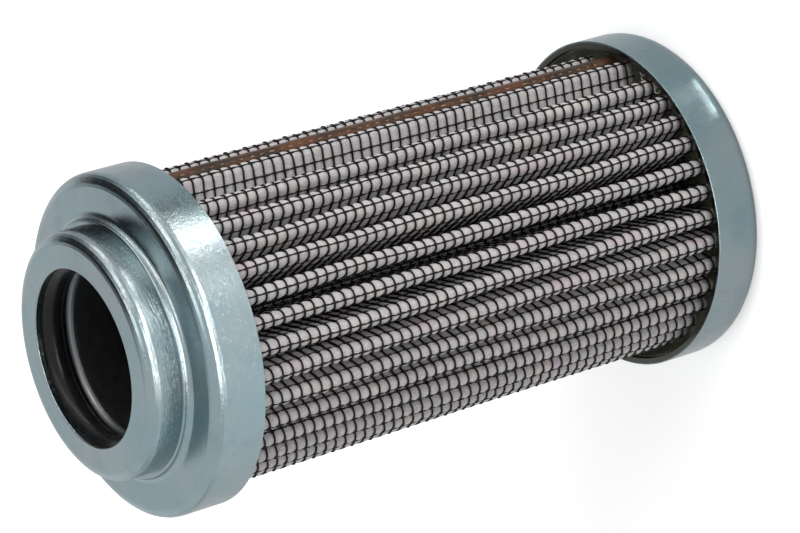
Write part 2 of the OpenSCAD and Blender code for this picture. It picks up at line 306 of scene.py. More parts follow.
def add(tree, kind, inputs=None, **settings):
    """Adds a node with its settings, and plugs its inputs by name or number."""
    node = tree.nodes.new(kind)
    for name, value in settings.items():
        setattr(node, name, value)
    for name, value in (inputs or {}).items():
        plug(tree, node.inputs[name], value)
    return node


def reckoned(tree, operation, *values):
    """The result of one sum on numbers or sockets."""
    return add(tree, "ShaderNodeMath", dict(enumerate(values)),
               operation=operation).outputs["Value"]


def paired(tree, operation, first, second, result="Vector"):
    """The result of one sum on two vectors."""
    return add(tree, "ShaderNodeVectorMath", {0: first, 1: second},
               operation=operation).outputs[result]


def combined(tree, x=0.0, y=0.0, z=0.0):
    """A vector of three numbers."""
    return add(tree, "ShaderNodeCombineXYZ", {"X": x, "Y": y, "Z": z}).outputs["Vector"]


def start_tree(name, numbers, whole_number):
    """A geometry tree with inputs for numbers and a material. Returns it and its inputs."""
    tree = bpy.data.node_groups.new(name, "GeometryNodeTree")
    inputs = [("Geometry", "Geometry"), *((label, "Float") for label in numbers),
              (whole_number, "Int"), ("Material", "Material")]
    for label, kind in inputs:
        tree.interface.new_socket(label, in_out="INPUT", socket_type="NodeSocket" + kind)
    tree.interface.new_socket("Geometry", in_out="OUTPUT", socket_type="NodeSocketGeometry")
    return tree, add(tree, "NodeGroupInput").outputs


def end_tree(tree, geometry, material):
    """Ends a tree with real geometry, smooth shading and a material."""
    real = add(tree, "GeometryNodeRealizeInstances", {"Geometry": geometry})
    smooth = add(tree, "GeometryNodeSetShadeSmooth", {"Geometry": real.outputs["Geometry"]})
    made = add(tree, "GeometryNodeSetMaterial",
               {"Geometry": smooth.outputs["Geometry"], "Material": material})
    add(tree, "NodeGroupOutput", {"Geometry": made.outputs["Geometry"]})


def placed(name, data):
    """A new object in the scene."""
    obj = bpy.data.objects.new(name, data)
    bpy.context.scene.collection.objects.link(obj)
    return obj


def plain_mesh(name, start):
    """The finished mesh of an object that was only there to make it, and goes away."""
    start.update_tag()
    evaluated = start.evaluated_get(bpy.context.evaluated_depsgraph_get())
    mesh = bpy.data.meshes.new_from_object(evaluated)
    mesh.name = name
    bpy.data.objects.remove(start)
    return mesh


def grown_mesh(name, start_mesh, tree, values):
    """The plain mesh that a geometry tree makes of a starting mesh, with its inputs set by name."""
    start = placed(name + "_start", start_mesh)
    grower = start.modifiers.new("grow", "NODES")
    grower.node_group = tree
    for item in tree.interface.items_tree:
        if item.in_out == "INPUT" and item.name in values:
            grower[item.identifier] = values[item.name]
    return plain_mesh(name, start)


def settle(mesh, field):
    """Moves the vertices of a mesh, in metres, by a field that works in millimetres."""
    count = len(mesh.vertices)
    places = np.empty(count * 3)
    mesh.vertices.foreach_get("co", places)
    places = field(places.reshape(count, 3) / MM) * MM
    mesh.vertices.foreach_set("co", places.ravel())
    mesh.update()


def piece(name, mesh, slot, *nodes):
    """Shows a finished mesh as a piece of the element, in place of CAD nodes where it has some."""
    obj = placed(name, mesh)
    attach(obj, "root")
    if nodes:
        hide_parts(*nodes)
    return obj


def line_mesh(name, points, joined=True, **attributes):
    """A mesh of bare points, joined in one line where asked, with vectors stored on the points."""
    mesh = bpy.data.meshes.new(name)
    edges = [(i, i + 1) for i in range(len(points) - 1)] if joined else []
    mesh.from_pydata([tuple(p * MM for p in point) for point in points], edges, [])
    for label, vectors in attributes.items():
        stored = mesh.attributes.new(label, "FLOAT_VECTOR", "POINT")
        stored.data.foreach_set("vector", np.asarray(vectors, float).ravel())
    return mesh


# Folded line

def polar(radius, angle):
    """A place in plan, at an angle clockwise from the seam."""
    turn = math.radians(angle)
    return np.array([radius * math.cos(turn), -radius * math.sin(turn)])


def foot_angle(i):
    """Where the foot of a pleat stands. The seam comes before the first and after the last."""
    if i < 0:
        return 0.0
    if i == 0:
        return FIRST_FOOT * PLEAT_PITCH
    if i == PLEATS:
        return 360.0
    return (i + FOOT_SHIFT) * PLEAT_PITCH


def crest_angle(i):
    """Where the crest of a pleat lies."""
    return LEAN_ANGLE if i == 0 else foot_angle(i)


def fold_angle(k):
    """Where the inner fold before a pleat lies."""
    return (foot_angle(k - 1) + foot_angle(k)) / 2


def flank_angle(i, k):
    """Direction that the flank between crest i and fold k faces. It touches both circles."""
    across = polar(FOLD_CENTRE, fold_angle(k)) - polar(CREST_CENTRE, crest_angle(i))
    side = 1 if k > i else -1
    lean = math.degrees(math.acos((CREST_RADIUS + FOLD_RADIUS) / np.linalg.norm(across)))
    return math.degrees(math.atan2(across[1], across[0])) + side * lean


def wrapped(angle):
    """The same angle between -180 and 180."""
    return (angle + 180) % 360 - 180


def arc_points(centre, radius, middle, first, last, steps):
    """Points on an arc, whose ends are given as angles from its middle."""
    turns = np.radians(middle + np.linspace(first, last, steps + 1))
    return [centre + radius * np.array([math.cos(t), math.sin(t)]) for t in turns]


def folded_line(depth, crest_steps, fold_steps):
    """One layer's outline at a depth below the mesh, from one leg of the seam to the other."""
    start = polar(CREST_CENTRE, crest_angle(SEAM_PLEAT))
    line = arc_points(start, CREST_RADIUS - depth, flank_angle(SEAM_PLEAT, 0), 0, 0, 0)
    for k in range(PLEATS + 1):
        centre = polar(FOLD_CENTRE, fold_angle(k))
        down = 180 - fold_angle(k)
        first = wrapped(flank_angle(k - 1, k) + 180 - down)
        last = wrapped(flank_angle(k, k) + 180 - down)
        line += arc_points(centre, FOLD_RADIUS + depth, down, first, last, fold_steps)
        if k < PLEATS:
            centre = polar(CREST_CENTRE, crest_angle(k))
            up = -crest_angle(k)
            first = wrapped(flank_angle(k, k) - up)
            last = wrapped(flank_angle(k, k + 1) - up)
            line += arc_points(centre, CREST_RADIUS - depth, up, first, last, crest_steps)
    end = polar(CREST_CENTRE, crest_angle(PLEATS))
    line += arc_points(end, CREST_RADIUS - depth, flank_angle(PLEATS, PLEATS), 0, 0, 0)
    return np.array(line)


def run_along(line):
    """Length along a line, at each of its points."""
    steps = np.linalg.norm(np.diff(line, axis=0), axis=1)
    return np.concatenate([[0], np.cumsum(steps)])


def outward(line):
    """Directions square to a line at its points, away from the layers below it."""
    along = np.gradient(line, axis=0)
    along /= np.linalg.norm(along, axis=1)[:, None]
    return np.stack([-along[:, 1], along[:, 0]], axis=1)


def at_runs(line, runs, wanted):
    """What a line has at the wanted lengths along it."""
    return np.stack([np.interp(wanted, runs, line[:, axis]) for axis in (0, 1)], axis=1)


def at_height(line, height=0.0):
    """A line in plan, put at a height."""
    return np.column_stack([line, np.full(len(line), height)])


# What handling has done to the straight cloth

def eased(value, low, high):
    """Rises smoothly from 0 at the low value to 1 at the high one."""
    part = np.clip((value - low) / (high - low), 0, 1)
    return part * part * (3 - 2 * part)


def waved(waves, height, turn):
    """A wavy number up and round the element. Each wave has a length, count, start and share."""
    return sum(share * np.sin(height / length + count * turn + start)
               for length, count, start, share in waves)


def handled(places):
    """Lets the crests sway and the wires drift a little, as one field for every layer."""
    x, y, z = places.T
    radius = np.hypot(x, y)
    turn = np.arctan2(y, x)
    crest = eased(radius, FOLD_CENTRE, CREST_CENTRE)
    held = (eased(np.abs(np.degrees(turn)), *SEAM_HOLD) * eased(z, *CLOSED_HOLD)
            * eased(PACK_TOP - z, *OPEN_HOLD))
    sway = waved(SWAY_WAVES, z, turn) * SWAY / 2 * crest * held
    lift = waved(LIFT_WAVES, z, turn) * SWAY * LIFT_SHARE * crest * held
    drift = sum(np.sin((along_x * x + along_y * y) / across + z / up + start)
                for along_x, along_y, across, up, start in DRIFT_WAVES) * WIRE_DRIFT / 2 * held
    beyond_seam = np.degrees(turn)
    sag = eased(beyond_seam, *SAG_START) * eased(SAG_END - beyond_seam, 0, SAG_FADE)
    lift -= SAG * sag * eased(z, *SAG_RISE) * eased(PACK_TOP - z, *SAG_TOP) * crest
    turn = turn + sway / np.maximum(radius, 1)
    radius = radius + lift
    return np.stack([radius * np.cos(turn), radius * np.sin(turn), z + drift], axis=1)


# Finishes. Sizes are in millimetres, and shares and levels run from 0 to 1

# Sockets of the mix node, by number, because several have one name
MIX_SHARE = 0
MIX_NUMBERS = (2, 3)
MIX_COLOURS = (6, 7)
NUMBER_OUT, COLOUR_OUT = 0, 2


def finish_tree(name):
    """A new material with its tree, its shader and object coordinates."""
    material = bpy.data.materials.new(name)
    material.use_nodes = True
    tree = material.node_tree
    shader = tree.nodes["Principled BSDF"]
    place = add(tree, "ShaderNodeTexCoord").outputs["Object"]
    return material, tree, shader, place


def stretched(tree, place, scale, location=(0, 0, 0)):
    """Coordinates that draw a pattern out along the axes with a small scale."""
    return add(tree, "ShaderNodeMapping",
               {"Vector": place, "Scale": scale, "Location": location}).outputs["Vector"]


def grain(tree, place, size, detail, roughness=0.5):
    """Noise whose patches are about a size across."""
    return add(tree, "ShaderNodeTexNoise",
               {"Vector": place, "Scale": 1 / (size * MM), "Detail": detail,
                "Roughness": roughness}).outputs["Fac"]


def ranged(tree, value, given, wanted=(0, 1)):
    """A number brought from a given range to the wanted one, and kept within it."""
    return add(tree, "ShaderNodeMapRange",
               {"Value": value, "From Min": given[0], "From Max": given[1],
                "To Min": wanted[0], "To Max": wanted[1]}).outputs["Result"]


def blended(tree, share, first, second):
    """A colour between two, each of which is a colour or a socket."""
    low, high = MIX_COLOURS
    first, second = (colour if isinstance(colour, bpy.types.NodeSocket) else (*colour, 1)
                     for colour in (first, second))
    return add(tree, "ShaderNodeMix", {MIX_SHARE: share, low: first, high: second},
               data_type="RGBA").outputs[COLOUR_OUT]


def blend_number(tree, share, first, second):
    """A number between two, by a share."""
    low, high = MIX_NUMBERS
    return add(tree, "ShaderNodeMix",
               {MIX_SHARE: share, low: first, high: second}).outputs[NUMBER_OUT]


def feed(tree, shader, **sources):
    """Plugs a shader's inputs by name."""
    for name, value in sources.items():
        plug(tree, shader.inputs[name.replace("_", " ")], value)


def bumped(tree, shader, pattern, height, strength=1.0):
    """Raises the surface by a pattern."""
    bump = add(tree, "ShaderNodeBump",
               {"Height": pattern, "Distance": height * MM, "Strength": strength})
    feed(tree, shader, Normal=bump.outputs["Normal"])


def coordinate(tree, vector, axis):
    """One coordinate of a place or a direction."""
    return add(tree, "ShaderNodeSeparateXYZ", {"Vector": vector}).outputs[axis]


def from_axis(tree, place):
    """Distance from the element's axis."""
    flat = paired(tree, "MULTIPLY", place, (1, 1, 0))
    return paired(tree, "DISTANCE", flat, (0, 0, 0), "Value")


def turned_place(tree, place, along, across):
    """Coordinates for marks that run round the axis, with a scale along and one across them."""
    outline = reckoned(tree, "ADD", coordinate(tree, place, "Z"), from_axis(tree, place))
    coarse = paired(tree, "MULTIPLY", place, (along, along, 0))
    fine = reckoned(tree, "MULTIPLY", outline, across)
    return paired(tree, "ADD", coarse, combined(tree, z=fine))


def smears_and_painted_foot_shade(tree, place, colour):
    """Glue wiped along the closed cap's rim, inside its bright line, and painted shade at its foot,
    which stands in for a darker reflection there.
    """
    height = coordinate(tree, place, "Z")
    above = ranged(tree, height, [(CLOSED_RIM + part) * MM for part in RIM_BAND])
    smear = ranged(tree, grain(tree, place, size=1.1, detail=3), (0.25, 0.35), (0.8, 1))
    inside = ranged(tree, from_axis(tree, place),
                    (RIM_LINE * MM, (RIM_LINE + RIM_LINE_WIDTH) * MM), (1, 0))
    glued = reckoned(tree, "MULTIPLY", above, reckoned(tree, "MULTIPLY", smear, inside))
    colour = blended(tree, glued, colour, RIM_GLUE)
    # Painted shade at the foot, standing in for a darker reflection there
    foot = ranged(tree, height, [part * MM for part in FOOT_SHADE], (0.6, 0))
    return blended(tree, foot, colour, FOOT_PAINTED_SHADE)


def zinc_finish(name, painted_shade_tone=1.0, with_smears_and_painted_shade=False):
    """Blue-passivated zinc on pressed steel. Drawn walls are scratched and flat faces calm."""
    material, tree, shader, place = finish_tree(name)
    tint = ranged(tree, grain(tree, place, size=14, detail=3), (0.35, 0.7))
    stain = ranged(tree, grain(tree, place, size=5, detail=4, roughness=0.6), (0.52, 0.75),
                   (0, 0.5))
    # A tone below 1 makes a darker copy of the zinc: painted shade
    grey, teal, blue = ([painted_shade_tone * part for part in colour]
                        for colour in (ZINC_GREY, ZINC_TEAL, ZINC_BLUE))
    colour = blended(tree, stain, blended(tree, tint, grey, teal), blue)
    if with_smears_and_painted_shade:
        colour = smears_and_painted_foot_shade(tree, place, colour)
    facing = add(tree, "ShaderNodeNewGeometry").outputs["True Normal"]
    upright = reckoned(tree, "ABSOLUTE", coordinate(tree, facing, "Z"))
    flat = ranged(tree, upright, (0.75, 0.98))
    speckle = grain(tree, stretched(tree, place, (1, 1, 0.6)), size=0.5, detail=4, roughness=0.75)
    drawn = grain(tree, turned_place(tree, place, 0.3, 2.2), size=0.7, detail=3, roughness=0.6)
    scratches = blend_number(tree, 0.3, speckle, drawn)
    lines = grain(tree, turned_place(tree, place, 0.16, 1.6), size=0.25, detail=3, roughness=0.6)
    rough = blend_number(tree, flat, ranged(tree, scratches, (0.35, 0.65), (0.11, 0.3)),
                         ranged(tree, lines, (0.3, 0.7), (0.13, 0.2)))
    tangent = add(tree, "ShaderNodeTangent", direction_type="RADIAL", axis="Z")
    feed(tree, shader, Base_Color=colour, Metallic=1.0, Roughness=rough, Anisotropic=0.5,
         Anisotropic_Rotation=0.25, Tangent=tangent.outputs["Tangent"])
    marks = blend_number(tree, flat, scratches, reckoned(tree, "MULTIPLY", lines, 0.25))
    bumped(tree, shader, marks, height=0.07)
    return material


def dark_steel_finish():
    """Steel in the bore with faint turned lines, its colour darkened as painted shade for the dim
    inside of the bore.
    """
    material, tree, shader, place = finish_tree("bore_steel_painted_shade")
    lines = grain(tree, turned_place(tree, place, 0.2, 1.2), size=0.4, detail=2)
    feed(tree, shader, Base_Color=blended(tree, lines, *BORE_STEEL_SHADE_COLOURS), Metallic=1.0,
         Roughness=ranged(tree, lines, (0.3, 0.7), (0.34, 0.44)))
    bumped(tree, shader, lines, height=0.004, strength=0.4)
    return material


def cloudy_finish(name, colours, cloud, roughness, fade=(0, 1), bumps=None, axes=(1, 1, 1),
                  **inputs):
    """A surface whose colour, and gloss where it varies, follow one pattern of grain."""
    material, tree, shader, place = finish_tree(name)
    place = stretched(tree, place, axes)
    pattern = grain(tree, place, **cloud)
    if isinstance(roughness, tuple):
        roughness = ranged(tree, pattern, *roughness)
    feed(tree, shader, Base_Color=blended(tree, ranged(tree, pattern, fade), *colours),
         Roughness=roughness, **inputs)
    if bumps:
        finer, height, strength = bumps
        bumped(tree, shader, grain(tree, place, **finer), height, strength)
    return material


def fleece_finish():
    """White spunbonded fleece: fine fibres, pink and cream tints, and glue soaked into an end."""
    material, tree, shader, place = finish_tree("white_fleece")
    cloth = add(tree, "ShaderNodeUVMap", uv_map="along").outputs["UV"]
    fibres = add(tree, "ShaderNodeTexNoise", {
        "Vector": stretched(tree, cloth, (1, 0.35, 1)), "Scale": 4.5, "Detail": 4.0,
        "Roughness": 0.65, "Distortion": 1.2}).outputs["Fac"]
    blotch = grain(tree, place, size=7, detail=2)
    pink = grain(tree, stretched(tree, place, (1, 1, 0.45)), size=3.2, detail=1)
    cream = grain(tree, stretched(tree, place, (1, 1, 0.6), (3, 1, 2)), size=3, detail=1)
    colour = blended(tree, ranged(tree, fibres, (0.3, 0.7)), *FLEECE_COLOURS)
    for share, tint in ((ranged(tree, blotch, (0.4, 0.7), (0, 0.4)), FLEECE_BLOTCH),
                        (ranged(tree, pink, (0.6, 0.74), (0, 0.75)), FLEECE_PINK),
                        (ranged(tree, cream, (0.6, 0.72), (0, 0.5)), FLEECE_CREAM)):
        colour = blended(tree, share, colour, tint)
    wobble = ranged(tree, grain(tree, place, size=2, detail=2), (0, 1),
                    (-SOAK_WANDER * MM, SOAK_WANDER * MM))
    wet = reckoned(tree, "ADD", coordinate(tree, place, "Z"), wobble)
    soaked = ranged(tree, wet, [(GLUE_LEVEL + part) * MM for part in SOAK_FADE], (0.9, 0))
    feed(tree, shader, Base_Color=blended(tree, soaked, colour, FLEECE_SOAKED),
         Roughness=ranged(tree, soaked, (0, 1), (0.85, 0.4)), Sheen_Weight=0.15)
    bumped(tree, shader, fibres, height=0.05, strength=0.6)
    return material


def amber_finish():
    """Brown epoxy of the side seam: streaky, darker in places, greener near the closed end."""
    material, tree, shader, place = finish_tree("amber_glue")
    streak = grain(tree, stretched(tree, place, (1, 1, 0.12)), size=0.6, detail=3, roughness=0.6)
    cloud = grain(tree, place, size=3, detail=3)
    rust = grain(tree, stretched(tree, place, (1, 1, 0.5)), size=2.2, detail=3)
    height = coordinate(tree, place, "Z")
    colour = blended(tree, ranged(tree, streak, (0.38, 0.62)), *AMBER_COLOURS)
    for share, tint in (
            (ranged(tree, cloud, (0.45, 0.62), (0, 0.85)), AMBER_CLOUD),
            (ranged(tree, rust, (0.5, 0.62), (0, 0.8)), AMBER_RUST),
            (ranged(tree, height, [part * MM for part in GREEN_FADE], (0.6, 0)), AMBER_GREEN)):
        colour = blended(tree, share, colour, tint)
    feed(tree, shader, Base_Color=colour, Roughness=0.5, Specular_IOR_Level=0.25)
    flow = grain(tree, stretched(tree, place, (1, 1, 0.4)), size=0.8, detail=3)
    bumped(tree, shader, flow, height=0.1, strength=0.5)
    return material


ZINC = zinc_finish("zinc_plate")
# Closed cap: glue smears, and painted shade all over and at its foot
SMEARED_AND_SHADED_ZINC = zinc_finish("smeared_zinc_painted_shade", CLOSED_CAP_PAINTED_SHADE, with_smears_and_painted_shade=True)
BORE_SHADED_STEEL = dark_steel_finish()
FLEECE = fleece_finish()
AMBER = amber_finish()

# Black moulded rubber with a greasy sheen, and black epoxy on the wire, browner where it is worn
RUBBER = cloudy_finish(
    "black_rubber", RUBBER_COLOURS, dict(size=2.5, detail=3), ((0.3, 0.7), (0.22, 0.34)),
    bumps=(dict(size=0.2, detail=2), 0.008, 0.3), Specular_IOR_Level=0.2)
WIRE = cloudy_finish(
    "coated_wire", WIRE_COLOURS, dict(size=0.9, detail=3), ((0.55, 0.75), (0.42, 0.6)),
    fade=(0.55, 0.75), bumps=(dict(size=0.08, detail=2), 0.01, 0.5), Specular_IOR_Level=0.12)

# Cream glass-fibre medium, and the cut ends of the cloth in the seam's glue, light as a painted
# glint
FIBRES = dict(size=0.3, detail=3, roughness=0.6)
MEDIUM = cloudy_finish("glass_medium", MEDIUM_COLOURS, FIBRES, 0.9,
                       bumps=(FIBRES, 0.03, 0.5), axes=(1, 1, 0.4))
CUT_END_GLINTS = cloudy_finish("cut_end_glints", CUT_END_GLINT_COLOURS, dict(size=1.5, detail=2), 0.45,
                         fade=(0.4, 0.6))

# Glossy grey-green potting epoxy, full of cloudy streaks, and pale threads pulled out of it
GREY_GLUE = cloudy_finish(
    "grey_glue", GREY_GLUE_COLOURS, dict(size=3.5, detail=4, roughness=0.6),
    ((0.3, 0.7), (0.25, 0.5)), fade=(0.35, 0.7), bumps=(dict(size=1.2, detail=3), 0.12, 0.5),
    Specular_IOR_Level=0.4)
STRAND = cloudy_finish("glue_strand", STRAND_COLOURS, dict(size=1, detail=2), 0.4)

# CAD nodes that keep their shape
NODE_FINISHES = {
    "open_end_cap": ZINC,
    "closed_end_cap": SMEARED_AND_SHADED_ZINC,
    "seal_retainer": BORE_SHADED_STEEL,
    "o_ring": RUBBER,
    "core_tube": BORE_SHADED_STEEL,
    "inner_mesh_long_wires": WIRE,
    "inner_mesh_cross_wires": WIRE,
    "open_end_adhesive": GREY_GLUE,
}
for node, finish in NODE_FINISHES.items():
    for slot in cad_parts[node].material_slots:
        slot.material = finish


# Outer wire cloth

def end_wires(tree, given, lines):
    """Ends a tree with round wire along its lines."""
    radius = reckoned(tree, "MULTIPLY", given["Wire Diameter"], 0.5)
    round_bar = add(tree, "GeometryNodeCurvePrimitiveCircle",
                    {"Resolution": WIRE_SIDES, "Radius": radius}, mode="RADIUS")
    curve = add(tree, "GeometryNodeMeshToCurve", {"Mesh": lines})
    wires = add(tree, "GeometryNodeCurveToMesh",
                {"Curve": curve.outputs["Curve"], "Profile Curve": round_bar.outputs["Curve"],
                 "Fill Caps": True})
    end_tree(tree, wires.outputs["Mesh"], given["Material"])


def woven_offset(tree, height, side):
    """The stored over-and-under direction times a height and a sign."""
    over = add(tree, "GeometryNodeInputNamedAttribute", {"Name": "over"},
               data_type="FLOAT_VECTOR").outputs["Attribute"]
    rise = reckoned(tree, "MULTIPLY", height, side)
    return paired(tree, "MULTIPLY", over, combined(tree, rise, rise, rise))


def even_rows(tree, given):
    """A line of points up the element, from the tree's first height at its pitch."""
    return add(tree, "GeometryNodeMeshLine", {
        "Count": given["Count"], "Start Location": combined(tree, z=given["First Height"]),
        "Offset": combined(tree, z=given["Pitch"])}, mode="OFFSET").outputs["Mesh"]


def cross_wire_tree():
    """Lays one folded wire at an even pitch up the element."""
    tree, given = start_tree(
        "cross_wires", ["Wire Diameter", "Weave Height", "Side", "Pitch", "First Height"], "Count")
    bent = add(tree, "GeometryNodeSetPosition", {
        "Geometry": given["Geometry"],
        "Offset": woven_offset(tree, given["Weave Height"], given["Side"])})
    laid = add(tree, "GeometryNodeInstanceOnPoints", {
        "Points": even_rows(tree, given), "Instance": bent.outputs["Geometry"]})
    real = add(tree, "GeometryNodeRealizeInstances", {"Geometry": laid.outputs["Instances"]})
    end_wires(tree, given, real.outputs["Geometry"])
    return tree


def long_wire_tree():
    """Stands one wire on every point and bends it over and under the cross wires."""
    tree, given = start_tree(
        "long_wires", ["Wire Diameter", "Weave Height", "Pitch", "First Height"], "Count")
    stood = add(tree, "GeometryNodeInstanceOnPoints", {
        "Points": given["Geometry"], "Instance": even_rows(tree, given)})
    real = add(tree, "GeometryNodeRealizeInstances", {"Geometry": stood.outputs["Instances"]})
    index = add(tree, "GeometryNodeInputIndex").outputs["Index"]
    row = reckoned(tree, "MODULO", index, given["Count"])
    side = reckoned(tree, "COSINE", reckoned(tree, "MULTIPLY", row, math.pi))
    bent = add(tree, "GeometryNodeSetPosition", {
        "Geometry": real.outputs["Geometry"],
        "Offset": woven_offset(tree, given["Weave Height"], side)})
    end_wires(tree, given, bent.outputs["Geometry"])
    return tree


def outer_cloth():
    """The whole woven cloth over the pleats."""
    line = folded_line(WEAVE_DEPTH, CREST_STEPS, WIRE_FOLD_STEPS)
    runs = run_along(line)
    crossings = np.arange(LONG_PITCH / 2, runs[-1], LONG_PITCH)
    signs = np.where(np.arange(len(crossings)) % 2 == 0, 1.0, -1.0)
    wire = {"Wire Diameter": WIRE_DIAMETER * MM, "Weave Height": WEAVE_HEIGHT * MM,
            "Material": WIRE}

    # A cross wire has a point at every crossing and round every bend
    bends = runs[np.min(np.abs(runs[:, None] - crossings), axis=1) > CROSSING_ROOM]
    stations = np.sort(np.concatenate([crossings, bends]))
    path = at_runs(line, runs, stations)
    over = outward(path) * np.cos(math.pi * (stations - LONG_PITCH / 2) / LONG_PITCH)[:, None]
    start = line_mesh("cross_wire_path", at_height(path), over=at_height(over))
    tree = cross_wire_tree()
    for first, side, name in ((0, 1.0, "cross_wires_over"), (1, -1.0, "cross_wires_under")):
        mesh = grown_mesh(name, start, tree, wire | {
            "Side": side, "Pitch": 2 * CROSS_PITCH * MM,
            "First Height": (FIRST_CROSS + first * CROSS_PITCH) * MM,
            "Count": (CROSS_COUNT + 1 - first) // 2})
        settle(mesh, handled)
        piece(name, mesh, "coated_wire", "outer_mesh_cross_wires")

    # A long wire goes under where the cross wire goes over
    feet = at_runs(line, runs, crossings)
    sides = -at_runs(outward(line), runs, crossings)
    sides *= (signs / np.linalg.norm(sides, axis=1))[:, None]
    start = line_mesh("long_wire_feet", at_height(feet), joined=False, over=at_height(sides))
    mesh = grown_mesh("long_wires", start, long_wire_tree(), wire | {
        "Pitch": CROSS_PITCH * MM, "First Height": FIRST_CROSS * MM, "Count": CROSS_COUNT})
    settle(mesh, handled)
    piece("long_wires", mesh, "coated_wire", "outer_mesh_long_wires")


# Folded sheets

def folded_sheet(name, levels, back_depth, finish, slot, node):
    """A closed sheet over the pleats, whose face has a row of its own depth at each level."""
    back = folded_line(back_depth, CREST_STEPS, FOLD_STEPS)
    runs = run_along(back)
    width = len(back)
    lines = {depth: folded_line(depth, CREST_STEPS, FOLD_STEPS) for _, depth in levels}
    rows = [at_height(lines[depth], height) for height, depth in levels]
    back_heights = np.linspace(PACK_TOP, PACK_BOTTOM, BACK_ROWS)
    rows += [at_height(back, height) for height in back_heights]
    count = len(rows)
    faces = []
    for level in range(count):
        low, high = level * width, (level + 1) % count * width
        faces += [(low + i, high + i, high + i + 1, low + i + 1) for i in range(width - 1)]
    for end, turn in ((0, 1), (width - 1, -1)):
        face_rows = list(range(end, len(levels) * width, width))
        back_rows = list(range(len(levels) * width + end, count * width, width))
        faces += edge_strip(rows, face_rows, back_rows, turn)
    mesh = bpy.data.meshes.new(name)
    mesh.from_pydata((np.concatenate(rows) * MM).tolist(), [], faces)
    along = mesh.uv_layers.new(name="along")
    corners = np.empty(len(mesh.loops), int)
    mesh.loops.foreach_get("vertex_index", corners)
    row_heights = np.array([height for height, _ in levels] + back_heights.tolist())
    places = np.column_stack([runs[corners % width], row_heights[corners // width]])
    along.data.foreach_set("uv", places.ravel())
    mesh.shade_smooth()
    mesh.materials.append(finish)
    settle(mesh, handled)
    piece(name, mesh, slot, node)


def edge_strip(rows, face_rows, back_rows, turn):
    """Triangles that close a sheet's cut edge between its finely and its coarsely spaced rows."""
    places = np.concatenate(rows)
    back_rows = back_rows[::-1]
    faces, i, j = [], 0, 0
    while i < len(face_rows) - 1 or j < len(back_rows) - 1:
        next_face = places[face_rows[i + 1]][2] if i < len(face_rows) - 1 else math.inf
        next_back = places[back_rows[j + 1]][2] if j < len(back_rows) - 1 else math.inf
        if next_face <= next_back:
            corner = (face_rows[i], back_rows[j], face_rows[i + 1])
            i += 1
        else:
            corner = (face_rows[i], back_rows[j], back_rows[j + 1])
            j += 1
        faces.append(corner[::turn])
    return faces


def fleece_levels():
    """Rows of the fleece's face: pressed in under the cross wires and puffed out between them."""
    levels = [(PACK_BOTTOM, FLEECE_PRESSED)]
    for wire in range(CROSS_COUNT):
        base = FIRST_CROSS + wire * CROSS_PITCH
        levels.append((base, FLEECE_PRESSED))
        if wire < CROSS_COUNT - 1:
            levels += [(base + part * CROSS_PITCH, depth) for part, depth in PUFFS]
    return levels + [(PACK_TOP, FLEECE_PRESSED)]


def plain_levels(depth):
    """Rows of a face that is at one depth all over."""
    return [(height, depth) for height in np.linspace(PACK_BOTTOM, PACK_TOP, BACK_ROWS)]


def sheets():
    """The fleece and the media under it."""
    folded_sheet("fleece", fleece_levels(), COARSE_FACE, FLEECE, "white_fleece", "outer_fleece")
    folded_sheet("coarse_glass", plain_levels(COARSE_FACE + SHEET_GAP), FINE_FACE, MEDIUM,
                 "glass_medium", "coarse_medium")
    folded_sheet("fine_glass", plain_levels(FINE_FACE + SHEET_GAP), INNER_FLEECE_FACE, MEDIUM,
                 "glass_medium", "fine_medium")
    folded_sheet("back_fleece", plain_levels(INNER_FLEECE_FACE + SHEET_GAP), INNER_FLEECE_BACK,
                 FLEECE, "white_fleece", "inner_fleece")


# Glue and cut edges

def swept_mesh(name, rings, closed_path, finish):
    """Joins rings of as many points each into one skin, in a loop or with both ends closed."""
    width, count = len(rings[0]), len(rings)
    steps = count if closed_path else count - 1
    faces = []
    for ring in range(steps):
        low, high = ring * width, (ring + 1) % count * width
        faces += [(low + i, low + (i + 1) % width, high + (i + 1) % width, high + i)
                  for i in range(width)]
    if not closed_path:
        faces.append(tuple(range(width))[::-1])
        faces.append(tuple(range((count - 1) * width, count * width)))
    mesh = bpy.data.meshes.new(name)
    mesh.from_pydata((np.concatenate(rings) * MM).tolist(), [], faces)
    made = bmesh.new()
    made.from_mesh(mesh)
    bmesh.ops.recalc_face_normals(made, faces=made.faces)
    made.to_mesh(mesh)
    made.free()
    mesh.shade_smooth()
    mesh.materials.append(finish)
    return mesh


def ring_round(turn, section):
    """A section, given as radii and heights, at a turn about the axis."""
    return np.array([(r * math.cos(turn), r * math.sin(turn), z) for r, z in section])


def closed_end_glue():
    """The bed that the pleats stand in, rippled on top and drawn up the skirt."""
    corner = [(GLUE_RADIUS - GLUE_CORNER * (1 - math.sin(a)),
               GLUE_FLOOR + GLUE_CORNER * (1 - math.cos(a))) for a in np.radians(CORNER_ANGLES)]
    rings = []
    for turn in np.radians(np.arange(0, 360, GLUE_STEP)):
        bed = GLUE_LEVEL + GLUE_RIPPLE * waved(BED_WAVES, 0, turn)
        film = GLUE_CREEP + GLUE_RIPPLE * waved(FILM_WAVES, 0, turn)
        section = [(GLUE_BORE, GLUE_FLOOR)] + corner
        section += [(GLUE_RADIUS - inward, film - down) for inward, down in FILM_EDGE]
        section += [(SKIRT_FILM - inward, bed + up) for inward, up in BED_EDGE]
        section += [(BED_MIDDLE, bed), (GLUE_BORE, bed)]
        rings.append(ring_round(turn, section))
    mesh = swept_mesh("closed_end_glue", rings, True, GREY_GLUE)
    piece("closed_end_glue", mesh, "grey_adhesive", "closed_end_adhesive")


def bead_rise(part):
    """How far the bead stands up, at a part of its half width."""
    return (1 - abs(part) ** BEAD_FULLNESS) * (BEAD_TOP - BEAD_FOOT)


